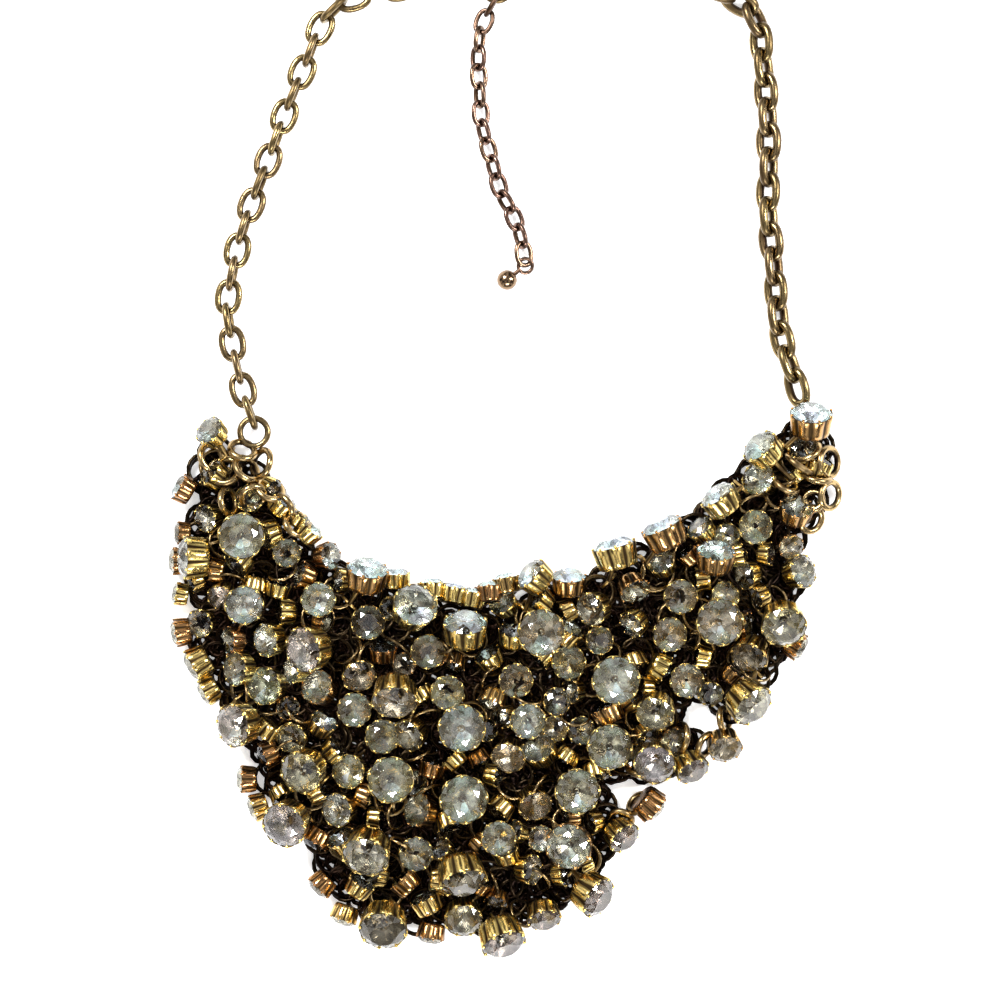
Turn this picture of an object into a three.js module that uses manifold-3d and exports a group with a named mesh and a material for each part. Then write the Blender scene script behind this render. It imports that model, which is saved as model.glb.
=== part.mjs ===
// A bib necklace laid flat: a heart-shaped net of wire set with cupped stones, an oval link chain up
// each side, a plain clasp, and an extension chain with a ball at its end.
// Lengths are in millimetres. X is to the right, Y is up the chains and Z is up off the table.
import * as THREE from 'three';
import { mergeVertices } from 'three/addons/utils/BufferGeometryUtils.js';
import Module from 'manifold-3d';

const wasm = await Module();
wasm.setup();

// The bib's own box. Its top edge is at Y = 0 and it hangs down to Y = -BIB_DROP.
const BIB_WIDTH = 136;
const BIB_DROP = 110;

// How far the chains' loop rises above the bib's top edge.
const LOOP_RISE = 84.2;

// The gap kept between any two pieces that move apart from each other.
const CLEARANCE = 0.3;

// Bumps on a joined surface smaller than this are smoothed away.
const FINENESS = 0.02;

// A cupped stone, as shares of the radius of its rim: a narrower flat back, a flared cup, a stone set
// in a little from the rim, and a flat table above a ring of eight facets.
const STONE_SIDES = 8;
const BACK_SHARE = 0.84;
const CUP_DEPTH_SHARE = 1.0;
const TABLE_SHARE = 0.52;
const CROWN_SHARE = 0.35;

// The net: a rim and crossed bars, cut through between them.
const NET_MIDDLE = 2.5;
const NET_THICKNESS = 1.0;
const RIM_WIDTH = 1.2;
const BAR_WIDTH = 0.9;
const BAR_SPACING = 12.0;
const BAR_ANGLE = Math.PI / 4;
const TAB_LENGTH = 6.0;
const OUTLINE_SAMPLES = 44;

// The bail under each loose stone: a small ring round one bar of the net and a stem up to the cup.
const BAIL_RADIUS = 1.88;
const BAIL_WIRE = 0.7;
const BAIL_SEGMENTS = 4;
const BAIL_SIDES = 4;
const STEM_WIDTH = 1.5;
const POST_SIDES = 3;
const BAIL_STEP = 0.55;
const BAIL_FROM_CROSSING = 2.2;
const BAIL_FROM_BAIL = 3.4;
const BAIL_FROM_RIM = 2.8;

// The wire of links and rings, how deep neighbouring links of one chain are fused together, and how many
// links a chain takes to roll from upright to the way it lies. FACET_ROOM makes up for the wire's flats.
const LINK_SEGMENTS = 10;
const WIRE_SIDES = 5;
const LINK_FUSE = 0.2;
const FACET_ROOM = 0.15;
const SIDE_LINK = { pitch: 5.25, width: 5.6, wire: 1.35 };
const TAIL_LINK = { pitch: 3.8, width: 3.8, wire: 0.8 };
const ROLL_LINKS = 4;
const HIGH_POINTS = 2;
const TAIL_STEPS = 14;
const TAIL_SIDES = 8;

// The rings, the clasp and the ball.
const JUMP_RING = { radius: 2.8, wire: 1.3 };
const TAIL_RING = { radius: 3.1, wire: 1.0 };
const CLASP_LENGTH = 8.4;
const CLASP_WIDTH = 4.6;
const CLASP_HEIGHT = 5.2;
const CLASP_CORNER = 1.2;
const CLASP_NECK = 1.6;
const CLASP_POST = 1.4;
const BALL_DIAMETER = 4.2;
const BALL_SIDES = 10;
const EYE_RADIUS = 1.6;
const EYE_WIRE = 0.8;

// The sizes of the net's own stones across the rim.
const SMALL = 6.0;
const MIDDLING = 7.2;
const LARGER = 8.0;

// How high the lowest point of a loose stone is: one that faces up sits over the net's own stones.
const FACING_LEVEL = 4.4;
const LEANING_LEVEL = 3.4;
const LEANING_FROM = 20;

// The loose stones. across and down are percents of the bib's width and drop, size is the rim's
// diameter, turn is the way the stone faces in degrees from the right, tilt is how far it leans from
// straight up, and lift is how much higher than its level it lies.
const LOOSE_COLUMNS = ['across', 'down', 'size', 'turn', 'tilt', 'lift', 'look'];
const LOOSE = [
  [10.7, 23.8, 9.6, 0, 5, 0, 'khaki'],
  [4.1, 27.6, 9.0, 180, 78, 0, 'blue'],
  [6.5, 5.3, 6.4, 135, 45, 0, 'grey'],
  [29.0, 31.5, 8.8, 80, 65, 0, 'grey'],
  [35.9, 37.1, 9.4, 60, 30, 0, 'aqua'],
  [43.5, 41.3, 9.2, 90, 60, 0, 'aqua'],
  [54.4, 41.1, 9.8, 0, 8, 0, 'tan'],
  [65.6, 27.5, 9.2, 105, 84, 0, 'aqua'],
  [72.9, 23.8, 9.0, 115, 80, 0, 'aqua'],
  [80.6, 39.3, 9.8, 0, 5, 0, 'tan'],
  [94.1, 3.5, 9.0, 90, 62, 0, 'aqua'],
  [90.1, 39.1, 9.4, 270, 30, 0, 'khaki'],
  [20.9, 44.0, 9.6, 190, 40, 0, 'pink'],
  [33.2, 52.2, 9.6, 270, 45, 0, 'tan'],
  [42.9, 58.5, 9.8, 0, 5, 0, 'grey'],
  [65.4, 49.8, 10.0, 0, 5, 0, 'aqua'],
  [84.6, 53.3, 9.4, 315, 50, 0, 'pink'],
  [64.4, 61.8, 9.4, 0, 8, 0, 'khaki'],
  [10.6, 57.8, 9.2, 190, 40, 0, 'pink'],
  [20.1, 66.0, 9.2, 215, 30, 0, 'khaki'],
  [32.5, 67.8, 9.6, 0, 5, 0, 'khaki'],
  [59.7, 69.8, 9.4, 0, 8, 0, 'khaki'],
  [43.2, 71.3, 10.0, 0, 5, 0, 'aqua'],
  [17.6, 75.5, 9.6, 220, 25, 0, 'violet'],
  [29.3, 80.4, 10.0, 250, 35, 0, 'grey'],
  [59.0, 79.6, 9.6, 200, 15, 0, 'aqua'],
  [61.8, 88.2, 9.0, 330, 55, 0, 'grey'],
  [31.6, 93.6, 10.0, 265, 35, 0, 'tan'],
  [42.9, 84.5, 10.0, 285, 55, 0, 'grey'],
  [48.7, 95.8, 9.6, 290, 55, 0, 'blue'],
  [11.0, 36.2, 8.0, 0, 8, 0, 'blue'],
  [80.1, 28.2, 8.2, 85, 62, 0, 'aqua'],
  [81.2, 17.8, 8.0, 125, 75, 0, 'aqua'],
  [87.4, 8.5, 8.0, 135, 62, 0, 'aqua'],
  [71.5, 55.1, 8.0, 250, 30, 0, 'khaki'],
  [71.3, 64.5, 8.6, 260, 20, 0, 'violet'],
  [54.0, 31.5, 7.4, 140, 70, 0, 'aqua'],
  [21.9, 35.3, 7.2, 0, 5, 0, 'aqua'],
  [52.6, 57.3, 7.4, 0, 5, 0, 'aqua'],
  [48.2, 78.4, 7.2, 0, 8, 0, 'grey'],
];

// The stones set in the net itself, which lies on them. They are lower than the loose ones.
const SET_COLUMNS = ['across', 'down', 'size', 'turn', 'tilt'];
const SET = [
  [2.1, 15.5, SMALL, 150, 80],
  [5.7, 20.4, SMALL, 200, 40],
  [16.9, 26.9, SMALL, 0, 10],
  [7.6, 34.4, SMALL, 250, 35],
  [5.9, 51.8, SMALL, 210, 85],
  [10.4, 48.0, MIDDLING, 180, 45],
  [14.4, 51.1, LARGER, 180, 25],
  [14.9, 42.7, MIDDLING, 185, 45],
  [29.0, 39.6, MIDDLING, 0, 5],
  [62.6, 36.9, MIDDLING, 200, 40],
  [78.5, 23.1, SMALL, 130, 60],
  [75.0, 34.9, MIDDLING, 0, 8],
  [73.4, 41.8, MIDDLING, 0, 8],
  [86.0, 22.2, MIDDLING, 0, 10],
  [87.1, 13.8, MIDDLING, 150, 35],
  [92.1, 19.6, MIDDLING, 80, 50],
  [92.4, 30.5, MIDDLING, 20, 40],
  [91.9, 43.6, SMALL, 330, 80],
  [85.6, 44.9, LARGER, 240, 45],
  [27.5, 48.7, MIDDLING, 300, 30],
  [37.8, 44.9, MIDDLING, 0, 5],
  [26.9, 55.5, MIDDLING, 0, 8],
  [40.6, 52.4, MIDDLING, 0, 8],
  [50.7, 50.2, MIDDLING, 0, 8],
  [58.5, 46.9, MIDDLING, 0, 8],
  [75.9, 50.2, MIDDLING, 0, 8],
  [31.0, 60.4, MIDDLING, 0, 8],
  [54.6, 63.3, MIDDLING, 120, 45],
  [49.9, 63.5, MIDDLING, 250, 30],
  [81.6, 61.6, MIDDLING, 280, 40],
  [11.5, 68.2, SMALL, 180, 85],
  [37.1, 74.0, MIDDLING, 160, 45],
  [36.0, 81.8, MIDDLING, 0, 8],
  [66.2, 78.0, MIDDLING, 315, 50],
  [70.3, 72.4, MIDDLING, 320, 100],
  [22.5, 87.1, SMALL, 225, 85],
  [38.4, 95.8, SMALL, 260, 85],
  [43.1, 92.9, LARGER, 275, 30],
  [54.9, 92.5, MIDDLING, 280, 50],
];

// The net's outer edge, as percents of the bib's width and drop, clockwise from the upper left.
const OUTLINE = [
  [3.4, 5.6], [8.0, 3.6], [9.4, 10.2], [14.6, 10.4], [16.4, 15.0], [19.1, 22.7], [25.7, 29.1],
  [33.8, 33.6], [41.2, 36.4], [48.5, 35.1], [55.1, 31.8], [63.2, 29.1], [70.6, 23.6],
  [77.9, 17.3], [84.6, 9.1], [90.4, 2.6], [96.3, 2.2], [98.2, 8.2], [97.4, 17.3],
  [93.8, 24.5], [93.4, 35.5], [92.6, 44.5], [87.5, 53.6], [83.1, 60.0], [77.9, 65.5],
  [72.1, 70.0], [69.1, 76.4], [65.0, 84.5], [61.0, 91.8], [54.4, 95.5], [47.1, 98.2],
  [38.2, 96.4], [31.6, 96.4], [25.7, 92.7], [21.8, 86.4], [19.1, 80.0], [14.0, 74.5],
  [11.8, 66.4], [8.1, 58.2], [5.1, 51.8], [2.2, 42.7], [1.5, 33.6], [1.5, 24.5], [2.2, 13.6],
];

// Where the rings lie, and the ways the chains take between them. The left ring's place is in percents
// of the bib's width and drop, and every other place is in percents of the bib's width and LOOP_RISE.
const JUMP_RING_PLACE = [12.2, 4.9];
const TAIL_RING_PLACE = [48.1, 100];
const LEFT_WAY = [
  [10.9, 1.9], [9.9, 8.3], [8.7, 17.8], [8.2, 23.5], [9.4, 34.4], [10.4, 41.3],
  [11.6, 46.8], [14.4, 58.7], [17.1, 70.5], [19.9, 81.5], [22.5, 91.7], [25.9, 96.7],
];
const RIGHT_WAY = [
  [57.4, 101.4], [66.2, 101.9], [75.0, 101.0], [81.6, 98.1], [86.3, 93.1], [87.2, 84.1],
  [87.9, 72.2], [88.2, 58.9], [88.1, 46.1], [89.0, 33.7], [89.6, 21.1], [90.3, 14.7],
  [91.5, 9.0], [92.6, 3.8],
];
const RIGHT_END = [92.9, 1.4];
const TAIL_WAY = [
  [45.6, 88.8], [45.3, 82.7], [45.6, 72.7], [45.7, 67.7], [46.5, 63.2], [48.1, 53.9],
  [49.0, 49.4], [50.4, 45.8], [51.3, 41.6], [52.1, 37.1],
];
const TAIL_END = [52.2, 34.0];
const BALL_PLACE = [49.6, 29.9];

const UP = new THREE.Vector3(0, 0, 1);
const QUARTER_TURN = Math.PI / 2;

function rows(columns, table) {
  return table.map((row) => Object.fromEntries(columns.map((name, i) => [name, row[i]])));
}

function acrossBib(percent) {
  return BIB_WIDTH * (percent / 100 - 0.5);
}

function downBib(percent) {
  return -BIB_DROP * percent / 100;
}

// Turns a geometry into a solid that can be joined and cut.
function solidOf(geometry) {
  const bare = geometry.clone();
  bare.deleteAttribute('normal');
  bare.deleteAttribute('uv');
  const merged = mergeVertices(bare, 1e-5);
  const place = merged.attributes.position;
  const index = merged.index.array;
  const kept = [];
  let volume = 0;
  for (let i = 0; i < index.length; i += 3) {
    const [a, b, c] = [index[i], index[i + 1], index[i + 2]];
    if (a === b || b === c || c === a) continue;
    kept.push(a, b, c);
    const first = new THREE.Vector3().fromBufferAttribute(place, a);
    const second = new THREE.Vector3().fromBufferAttribute(place, b);
    const third = new THREE.Vector3().fromBufferAttribute(place, c);
    volume += first.dot(second.cross(third));
  }
  if (volume < 0) kept.reverse();
  return new wasm.Manifold(new wasm.Mesh({
    numProp: 3,
    vertProperties: new Float32Array(place.array),
    triVerts: new Uint32Array(kept),
  }));
}

function geometryOf(solid) {
  const mesh = solid.getMesh();
  const geometry = new THREE.BufferGeometry();
  const place = new THREE.BufferAttribute(new Float32Array(mesh.vertProperties), 3);
  geometry.setAttribute('position', place);
  geometry.setIndex(new THREE.BufferAttribute(new Uint32Array(mesh.triVerts), 1));
  const flat = geometry.toNonIndexed();
  flat.computeVertexNormals();
  return flat;
}

function joined(solids) {
  return wasm.Manifold.union(solids);
}

// Keeps the one largest body, so a crumb cut loose at an edge is dropped.
function largest(solid) {
  const bodies = solid.decompose();
  return bodies.reduce((best, body) => (body.volume() > best.volume() ? body : best));
}

// The direction that a stone with this turn and tilt faces.
function facing(turn, tilt) {
  const heading = THREE.MathUtils.degToRad(turn);
  const lean = THREE.MathUtils.degToRad(tilt);
  return new THREE.Vector3(
    Math.sin(lean) * Math.cos(heading),
    Math.sin(lean) * Math.sin(heading),
    Math.cos(lean),
  );
}

// A cup with its stone, centred on the middle of the cup, grown all over by the margin given.
function settingGeometry(size, margin = 0) {
  const radius = size / 2;
  const depth = radius * CUP_DEPTH_SHARE;
  const low = -depth / 2 - margin;
  const high = depth / 2 + margin;
  const profile = [
    [0, low],
    [radius * BACK_SHARE + margin, low],
    [radius + margin, high],
    [radius * TABLE_SHARE + margin, high + radius * CROWN_SHARE],
    [0, high + radius * CROWN_SHARE],
  ];
  const points = profile.map(([x, y]) => new THREE.Vector2(x, y));
  const geometry = new THREE.LatheGeometry(points, STONE_SIDES);
  geometry.rotateX(QUARTER_TURN);
  return geometry;
}

// Where the middle of a stone's cup is when its lowest point is at the level given.
function cupMiddle(stone, level) {
  const turned = settingGeometry(stone.size);
  turned.applyQuaternion(leaning(stone));
  turned.computeBoundingBox();
  const height = level - turned.boundingBox.min.z;
  return new THREE.Vector3(acrossBib(stone.across), downBib(stone.down), height);
}

function leaning(stone) {
  return new THREE.Quaternion().setFromUnitVectors(UP, facing(stone.turn, stone.tilt));
}

function settingSolid(stone, middle, margin = 0) {
  const geometry = settingGeometry(stone.size, margin);
  geometry.applyQuaternion(leaning(stone));
  geometry.translate(middle.x, middle.y, middle.z);
  return solidOf(geometry);
}

// An oval ring of wire in the XY plane, longest along X, measured over the wire's middle.
function ringGeometry(halfLength, halfWidth, wire, segments, sides) {
  const places = [];
  const index = [];
  for (let i = 0; i < segments; i += 1) {
    const angle = 2 * Math.PI * i / segments;
    const middle = new THREE.Vector3(halfLength * Math.cos(angle), halfWidth * Math.sin(angle), 0);
    const out = new THREE.Vector3(halfWidth * Math.cos(angle), halfLength * Math.sin(angle), 0);
    out.normalize();
    for (let j = 0; j < sides; j += 1) {
      const round = Math.PI + 2 * Math.PI * j / sides;
      const point = middle.clone().addScaledVector(out, wire / 2 * Math.cos(round));
      point.z += wire / 2 * Math.sin(round);
      places.push(point.x, point.y, point.z);
      const next = (i + 1) % segments;
      const side = (j + 1) % sides;
      const [a, b] = [i * sides + j, i * sides + side];
      const [c, d] = [next * sides + j, next * sides + side];
      index.push(a, c, b, b, c, d);
    }
  }
  const geometry = new THREE.BufferGeometry();
  geometry.setAttribute('position', new THREE.Float32BufferAttribute(places, 3));
  geometry.setIndex(index);
  return geometry;
}

// A ring with its length along one direction and its width along another.
function ringSolid(middle, along, across, halfLength, halfWidth, wire, segments, sides) {
  const geometry = ringGeometry(halfLength, halfWidth, wire, segments, sides);
  const normal = new THREE.Vector3().crossVectors(along, across).normalize();
  const frame = new THREE.Matrix4().makeBasis(along, across, normal);
  frame.setPosition(middle);
  geometry.applyMatrix4(frame);
  return solidOf(geometry);
}

// A three-sided post between two points.
function postSolid(from, to, width) {
  const way = new THREE.Vector3().subVectors(to, from);
  const geometry = new THREE.CylinderGeometry(width / 2, width / 2, way.length(), POST_SIDES);
  geometry.rotateX(QUARTER_TURN);
  geometry.applyQuaternion(new THREE.Quaternion().setFromUnitVectors(UP, way.clone().normalize()));
  const middle = from.clone().addScaledVector(way, 0.5);
  geometry.translate(middle.x, middle.y, middle.z);
  return solidOf(geometry);
}

// A flat bar of the net between two points, at the net's own level and thickness.
function barSolid(from, to, width) {
  const way = new THREE.Vector2().subVectors(to, from);
  const geometry = new THREE.BoxGeometry(way.length(), width, NET_THICKNESS);
  geometry.rotateZ(way.angle());
  geometry.translate((from.x + to.x) / 2, (from.y + to.y) / 2, NET_MIDDLE);
  return solidOf(geometry);
}

// The net's edge, and the same edge moved inwards.
const edgePoints = OUTLINE.map(([x, y]) => new THREE.Vector3(acrossBib(x), downBib(y), 0));
const edgeCurve = new THREE.CatmullRomCurve3(edgePoints, true, 'centripetal');

function edge(inset) {
  const points = [];
  for (let i = 0; i < OUTLINE_SAMPLES; i += 1) {
    const share = i / OUTLINE_SAMPLES;
    const point = edgeCurve.getPointAt(share);
    const way = edgeCurve.getTangentAt(share);
    points.push(new THREE.Vector2(point.x + way.y * inset, point.y - way.x * inset));
  }
  return points;
}

function plateSolid(points, thickness) {
  const shape = new THREE.Shape(points);
  const geometry = new THREE.ExtrudeGeometry(shape, { depth: thickness, bevelEnabled: false });
  geometry.translate(0, 0, NET_MIDDLE - thickness / 2);
  return solidOf(geometry);
}

// The bars run both ways across the bib's middle. A bar is one line: its direction and its offset.
const bibMiddle = new THREE.Vector2(0, -BIB_DROP / 2);
const barReach = Math.hypot(BIB_WIDTH, BIB_DROP) / 2;
const bars = [];
for (const angle of [BAR_ANGLE, -BAR_ANGLE]) {
  const along = new THREE.Vector2(Math.cos(angle), Math.sin(angle));
  const aside = new THREE.Vector2(-along.y, along.x);
  const most = Math.floor(barReach / BAR_SPACING);
  for (let i = -most; i <= most; i += 1) {
    const middle = bibMiddle.clone().addScaledVector(aside, i * BAR_SPACING);
    bars.push({ along, aside, middle });
  }
}

function latticeSolid() {
  const crossed = bars.map(({ along, middle }) => barSolid(
    middle.clone().addScaledVector(along, -barReach),
    middle.clone().addScaledVector(along, barReach),
    BAR_WIDTH,
  ));
  const gaps = plateSolid(edge(RIM_WIDTH), NET_THICKNESS * 3).subtract(joined(crossed));
  return plateSolid(edge(0), NET_THICKNESS).subtract(gaps);
}

function insideEdge(point, border) {
  let inside = false;
  for (let i = 0, j = border.length - 1; i < border.length; j = i, i += 1) {
    const [a, b] = [border[i], border[j]];
    if ((a.y > point.y) === (b.y > point.y)) continue;
    if (point.x < (b.x - a.x) * (point.y - a.y) / (b.y - a.y) + a.x) inside = !inside;
  }
  return inside;
}

// The nearest point on any bar to the place given.
function nearestOnBar(place) {
  let best = null;
  for (const { along, aside, middle } of bars) {
    const offset = place.clone().sub(middle);
    const away = Math.abs(offset.dot(aside));
    if (best && away >= best.away) continue;
    best = { away, point: middle.clone().addScaledVector(along, offset.dot(along)) };
  }
  return best.point;
}

// The nearest point on a bar that a bail can be hung on: away from crossings, the rim and other bails.
function bailPlace(place, taken) {
  const border = edge(RIM_WIDTH + BAIL_FROM_RIM);
  const most = Math.ceil(barReach / BAIL_STEP);
  let best = null;
  for (const { along, middle } of bars) {
    for (let i = -most; i <= most; i += 1) {
      const point = middle.clone().addScaledVector(along, i * BAIL_STEP);
      const away = point.distanceTo(place);
      if (best && away >= best.away) continue;
      const other = new THREE.Vector2(-along.y, along.x);
      const phase = point.clone().sub(bibMiddle).dot(along) / BAR_SPACING;
      const crossing = Math.abs(phase - Math.round(phase)) * BAR_SPACING;
      if (crossing < BAIL_FROM_CROSSING) continue;
      if (!insideEdge(point, border)) continue;
      if (taken.some((one) => one.point.distanceTo(point) < BAIL_FROM_BAIL)) continue;
      best = { away, point, along, other };
    }
  }
  return best;
}

function bailSolids(bail, middle, margin = 0) {
  const heart = new THREE.Vector3(bail.point.x, bail.point.y, NET_MIDDLE);
  const aside = new THREE.Vector3(bail.other.x, bail.other.y, 0);
  const top = heart.clone().addScaledVector(UP, BAIL_RADIUS);
  const rise = new THREE.Vector3().subVectors(middle, top).normalize();
  const foot = top.addScaledVector(rise, -2 * margin);
  const stem = postSolid(foot, middle, STEM_WIDTH + 4 * margin);
  if (margin > 0) {
    const side = BAIL_RADIUS + BAIL_WIRE / 2 + margin * Math.SQRT2;
    const round = new THREE.CylinderGeometry(side, side, BAIL_WIRE + 2 * margin, BAIL_SEGMENTS);
    round.rotateZ(QUARTER_TURN);
    round.rotateZ(Math.atan2(bail.along.y, bail.along.x));
    round.translate(heart.x, heart.y, heart.z);
    return [stem, solidOf(round)];
  }
  const ring = ringSolid(heart, UP, aside, BAIL_RADIUS, BAIL_RADIUS, BAIL_WIRE, BAIL_SEGMENTS, BAIL_SIDES);
  return [stem, ring];
}

// A whole chain as one body. Link ends meet at equal steps along the way, turned a quarter each time.
function chainSolid(way, link, evenCount, firstRoll, lastRoll) {
  const curve = new THREE.CatmullRomCurve3(way, false, 'centripetal');
  const length = curve.getLength();
  const count = evenCount ? 2 * Math.round(length / link.pitch / 2) : Math.round(length / link.pitch);
  const nodes = curve.getSpacedPoints(count);
  const links = [];
  let last = null;
  for (let i = 0; i < count; i += 1) {
    const along = new THREE.Vector3().subVectors(nodes[i + 1], nodes[i]);
    const span = along.length();
    along.normalize();
    const side = new THREE.Vector3().crossVectors(UP, along).normalize();
    const rise = new THREE.Vector3().crossVectors(along, side);
    const settled = Math.min(1, i / ROLL_LINKS);
    const roll = QUARTER_TURN * (i + 1) + firstRoll + (lastRoll - firstRoll) * settled;
    const across = side.clone().multiplyScalar(Math.cos(roll)).addScaledVector(rise, Math.sin(roll));
    const middle = nodes[i].clone().add(nodes[i + 1]).multiplyScalar(0.5);
    const halfLength = (span + link.wire - LINK_FUSE) / 2;
    const halfWidth = (link.width - link.wire) / 2;
    links.push(ringSolid(
      middle, along, across, halfLength, halfWidth, link.wire, LINK_SEGMENTS, WIRE_SIDES,
    ));
    last = { along, across, end: nodes[i + 1] };
  }
  return { solid: joined(links), last };
}

// How far a link's end node lies beyond the middle of the ring's wire that the link holds.
function beyond(ringWire) {
  return ringWire / 2 + CLEARANCE + FACET_ROOM + LINK_FUSE / 2;
}

function onLoop(spot, height) {
  return new THREE.Vector3(acrossBib(spot[0]), LOOP_RISE * spot[1] / 100, height);
}

function flatRing(place, ring) {
  const along = new THREE.Vector3(1, 0, 0);
  const across = new THREE.Vector3(0, 1, 0);
  return ringSolid(place, along, across, ring.radius, ring.radius, ring.wire, LINK_SEGMENTS, WIRE_SIDES);
}

// An eye that holds a wire at the point given and reaches away along the direction given.
function eyeSolid(point, away, across, heldWire) {
  const reach = EYE_RADIUS - (heldWire + EYE_WIRE) / 2 - CLEARANCE - FACET_ROOM;
  const middle = point.clone().addScaledVector(away, reach);
  const solid = ringSolid(
    middle, away, across, EYE_RADIUS, EYE_RADIUS, EYE_WIRE, LINK_SEGMENTS, WIRE_SIDES,
  );
  return { solid, foot: middle.clone().addScaledVector(away, EYE_RADIUS) };
}

const LOOKS = {
  khaki: '#9a9478', blue: '#7f93a8', grey: '#8f8d84', aqua: '#8fb0ac', tan: '#b3a184',
  pink: '#b08f8c', violet: '#8f83a0',
};
const OLD_GOLD = '#a3874a';
const DARK_BRASS = '#6b5234';

const necklace = new THREE.Group();
necklace.name = 'bib_necklace';
const FINISH = {
  stone: { roughness: 0.2, metalness: 0.35 },
  metal: { roughness: 0.38, metalness: 1.0 },
};

function add(name, solid, color, finish) {
  const material = new THREE.MeshStandardMaterial({ color, ...finish });
  const mesh = new THREE.Mesh(geometryOf(solid.simplify(FINENESS)), material);
  mesh.name = name;
  necklace.add(mesh);
}

// The loose stones, each hung by its bail on the nearest free bar.
const loose = rows(LOOSE_COLUMNS, LOOSE);
const bails = [];
const roomForLoose = [];
loose.forEach((stone, i) => {
  const level = (stone.tilt < LEANING_FROM ? FACING_LEVEL : LEANING_LEVEL) + stone.lift;
  const middle = cupMiddle(stone, level);
  const bail = bailPlace(new THREE.Vector2(middle.x, middle.y), bails);
  bails.push(bail);
  const solid = joined([settingSolid(stone, middle), ...bailSolids(bail, middle)]);
  add(`stone_${String(i + 1).padStart(2, '0')}`, solid, LOOKS[stone.look], FINISH.stone);
  roomForLoose.push(settingSolid(stone, middle, CLEARANCE), ...bailSolids(bail, middle, CLEARANCE));
});

// The side chains and the rings they hold.
const leftHigh = SIDE_LINK.width / 2;
const jumpRingPlace = new THREE.Vector3(
  acrossBib(JUMP_RING_PLACE[0]), downBib(JUMP_RING_PLACE[1]), leftHigh,
);
const tailRingPlace = onLoop(TAIL_RING_PLACE, leftHigh);
const left = new THREE.Vector3(-1, 0, 0);
const right = new THREE.Vector3(1, 0, 0);
const claspHeld = tailRingPlace.clone().addScaledVector(left, TAIL_RING.radius);
const claspRightEye = eyeSolid(claspHeld, left, UP, TAIL_RING.wire);
const claspHeart = claspRightEye.foot.clone().addScaledVector(left, CLASP_NECK + CLASP_LENGTH / 2);
const leftStart = jumpRingPlace.clone();
leftStart.y += JUMP_RING.radius - beyond(JUMP_RING.wire);
const leftEnd = claspHeart.clone();
leftEnd.x -= CLASP_LENGTH / 2 + CLASP_NECK + EYE_RADIUS - beyond(EYE_WIRE);
const leftChain = chainSolid(
  [leftStart, ...LEFT_WAY.map((spot) => onLoop(spot, leftHigh)), leftEnd], SIDE_LINK, true, 0, 0,
);

const rightHigh = SIDE_LINK.width / 2 * Math.SQRT1_2 + SIDE_LINK.wire / 4;
const rightStart = tailRingPlace.clone();
rightStart.x += TAIL_RING.radius - beyond(TAIL_RING.wire);
const rightWay = RIGHT_WAY.map((spot, i) => onLoop(spot, i < HIGH_POINTS ? tailRingPlace.z : rightHigh));
const rightChain = chainSolid(
  [rightStart, ...rightWay, onLoop(RIGHT_END, rightHigh)], SIDE_LINK, false, 0, QUARTER_TURN / 2,
);

const tailHigh = TAIL_LINK.width / 2 + CLEARANCE / 2;
const tailStart = tailRingPlace.clone();
tailStart.y -= TAIL_RING.radius - beyond(TAIL_RING.wire);
const tailFirstEnd = tailStart.clone();
tailFirstEnd.y -= TAIL_LINK.pitch;
const tailLast = onLoop(TAIL_END, tailHigh);
const tailTurn = tailLast.clone().sub(onLoop(TAIL_WAY[TAIL_WAY.length - 1], tailHigh)).normalize();
const tailLastStart = tailLast.clone().addScaledVector(tailTurn, -TAIL_LINK.pitch);
const tailHead = chainSolid([tailStart, tailFirstEnd], TAIL_LINK, false, 0, 0);
const tailFoot = chainSolid([tailLastStart, tailLast], TAIL_LINK, false, 0, 0);
const tailCurve = new THREE.CatmullRomCurve3(
  [tailFirstEnd, ...TAIL_WAY.slice(1, -1).map((spot) => onLoop(spot, tailHigh)), tailLastStart],
  false, 'centripetal',
);
const cordShape = new THREE.Shape();
cordShape.absarc(0, 0, TAIL_LINK.width / 2, 0, 2 * Math.PI);
const cordGeometry = new THREE.ExtrudeGeometry(cordShape, {
  steps: TAIL_STEPS, curveSegments: TAIL_SIDES / 2, extrudePath: tailCurve,
});
const tailChain = {
  solid: joined([tailHead.solid, solidOf(cordGeometry), tailFoot.solid]),
  last: tailFoot.last,
};

// The net: its bars, the stones set in it, a spoke from each stone to a bar, and the two end eyes.
const setStones = rows(SET_COLUMNS, SET).map((stone) => ({ stone, middle: cupMiddle(stone, 0) }));
const spokes = setStones.map(({ middle }) => {
  const heart = new THREE.Vector2(middle.x, middle.y);
  const foot = nearestOnBar(heart);
  return heart.distanceTo(foot) < BAR_WIDTH / 2 ? null : barSolid(heart, foot, BAR_WIDTH);
}).filter(Boolean);
const filled = joined([...setStones.map(({ stone, middle }) => settingSolid(stone, middle)), ...spokes]);
const carved = filled.subtract(joined(roomForLoose));

const down = new THREE.Vector3(0, -1, 0);
const jumpRingFoot = jumpRingPlace.clone();
jumpRingFoot.y -= JUMP_RING.radius;
const leftEye = eyeSolid(jumpRingFoot, down, UP, JUMP_RING.wire);
const rightHeld = rightChain.last.end.clone()
  .addScaledVector(rightChain.last.along, (SIDE_LINK.wire - LINK_FUSE) / 2);
const rightNormal = new THREE.Vector3().crossVectors(rightChain.last.along, rightChain.last.across);
const rightEye = eyeSolid(rightHeld, rightChain.last.along, rightNormal, SIDE_LINK.wire);
const tabs = [leftEye, rightEye].map(({ foot }) => {
  const start = new THREE.Vector2(foot.x, foot.y + EYE_WIRE / 2);
  const end = new THREE.Vector2(foot.x, foot.y - TAB_LENGTH);
  return barSolid(start, end, RIM_WIDTH);
});
const net = joined([latticeSolid(), carved, leftEye.solid, rightEye.solid, ...tabs]);
add('stone_net', largest(net), OLD_GOLD, FINISH.metal);

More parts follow.
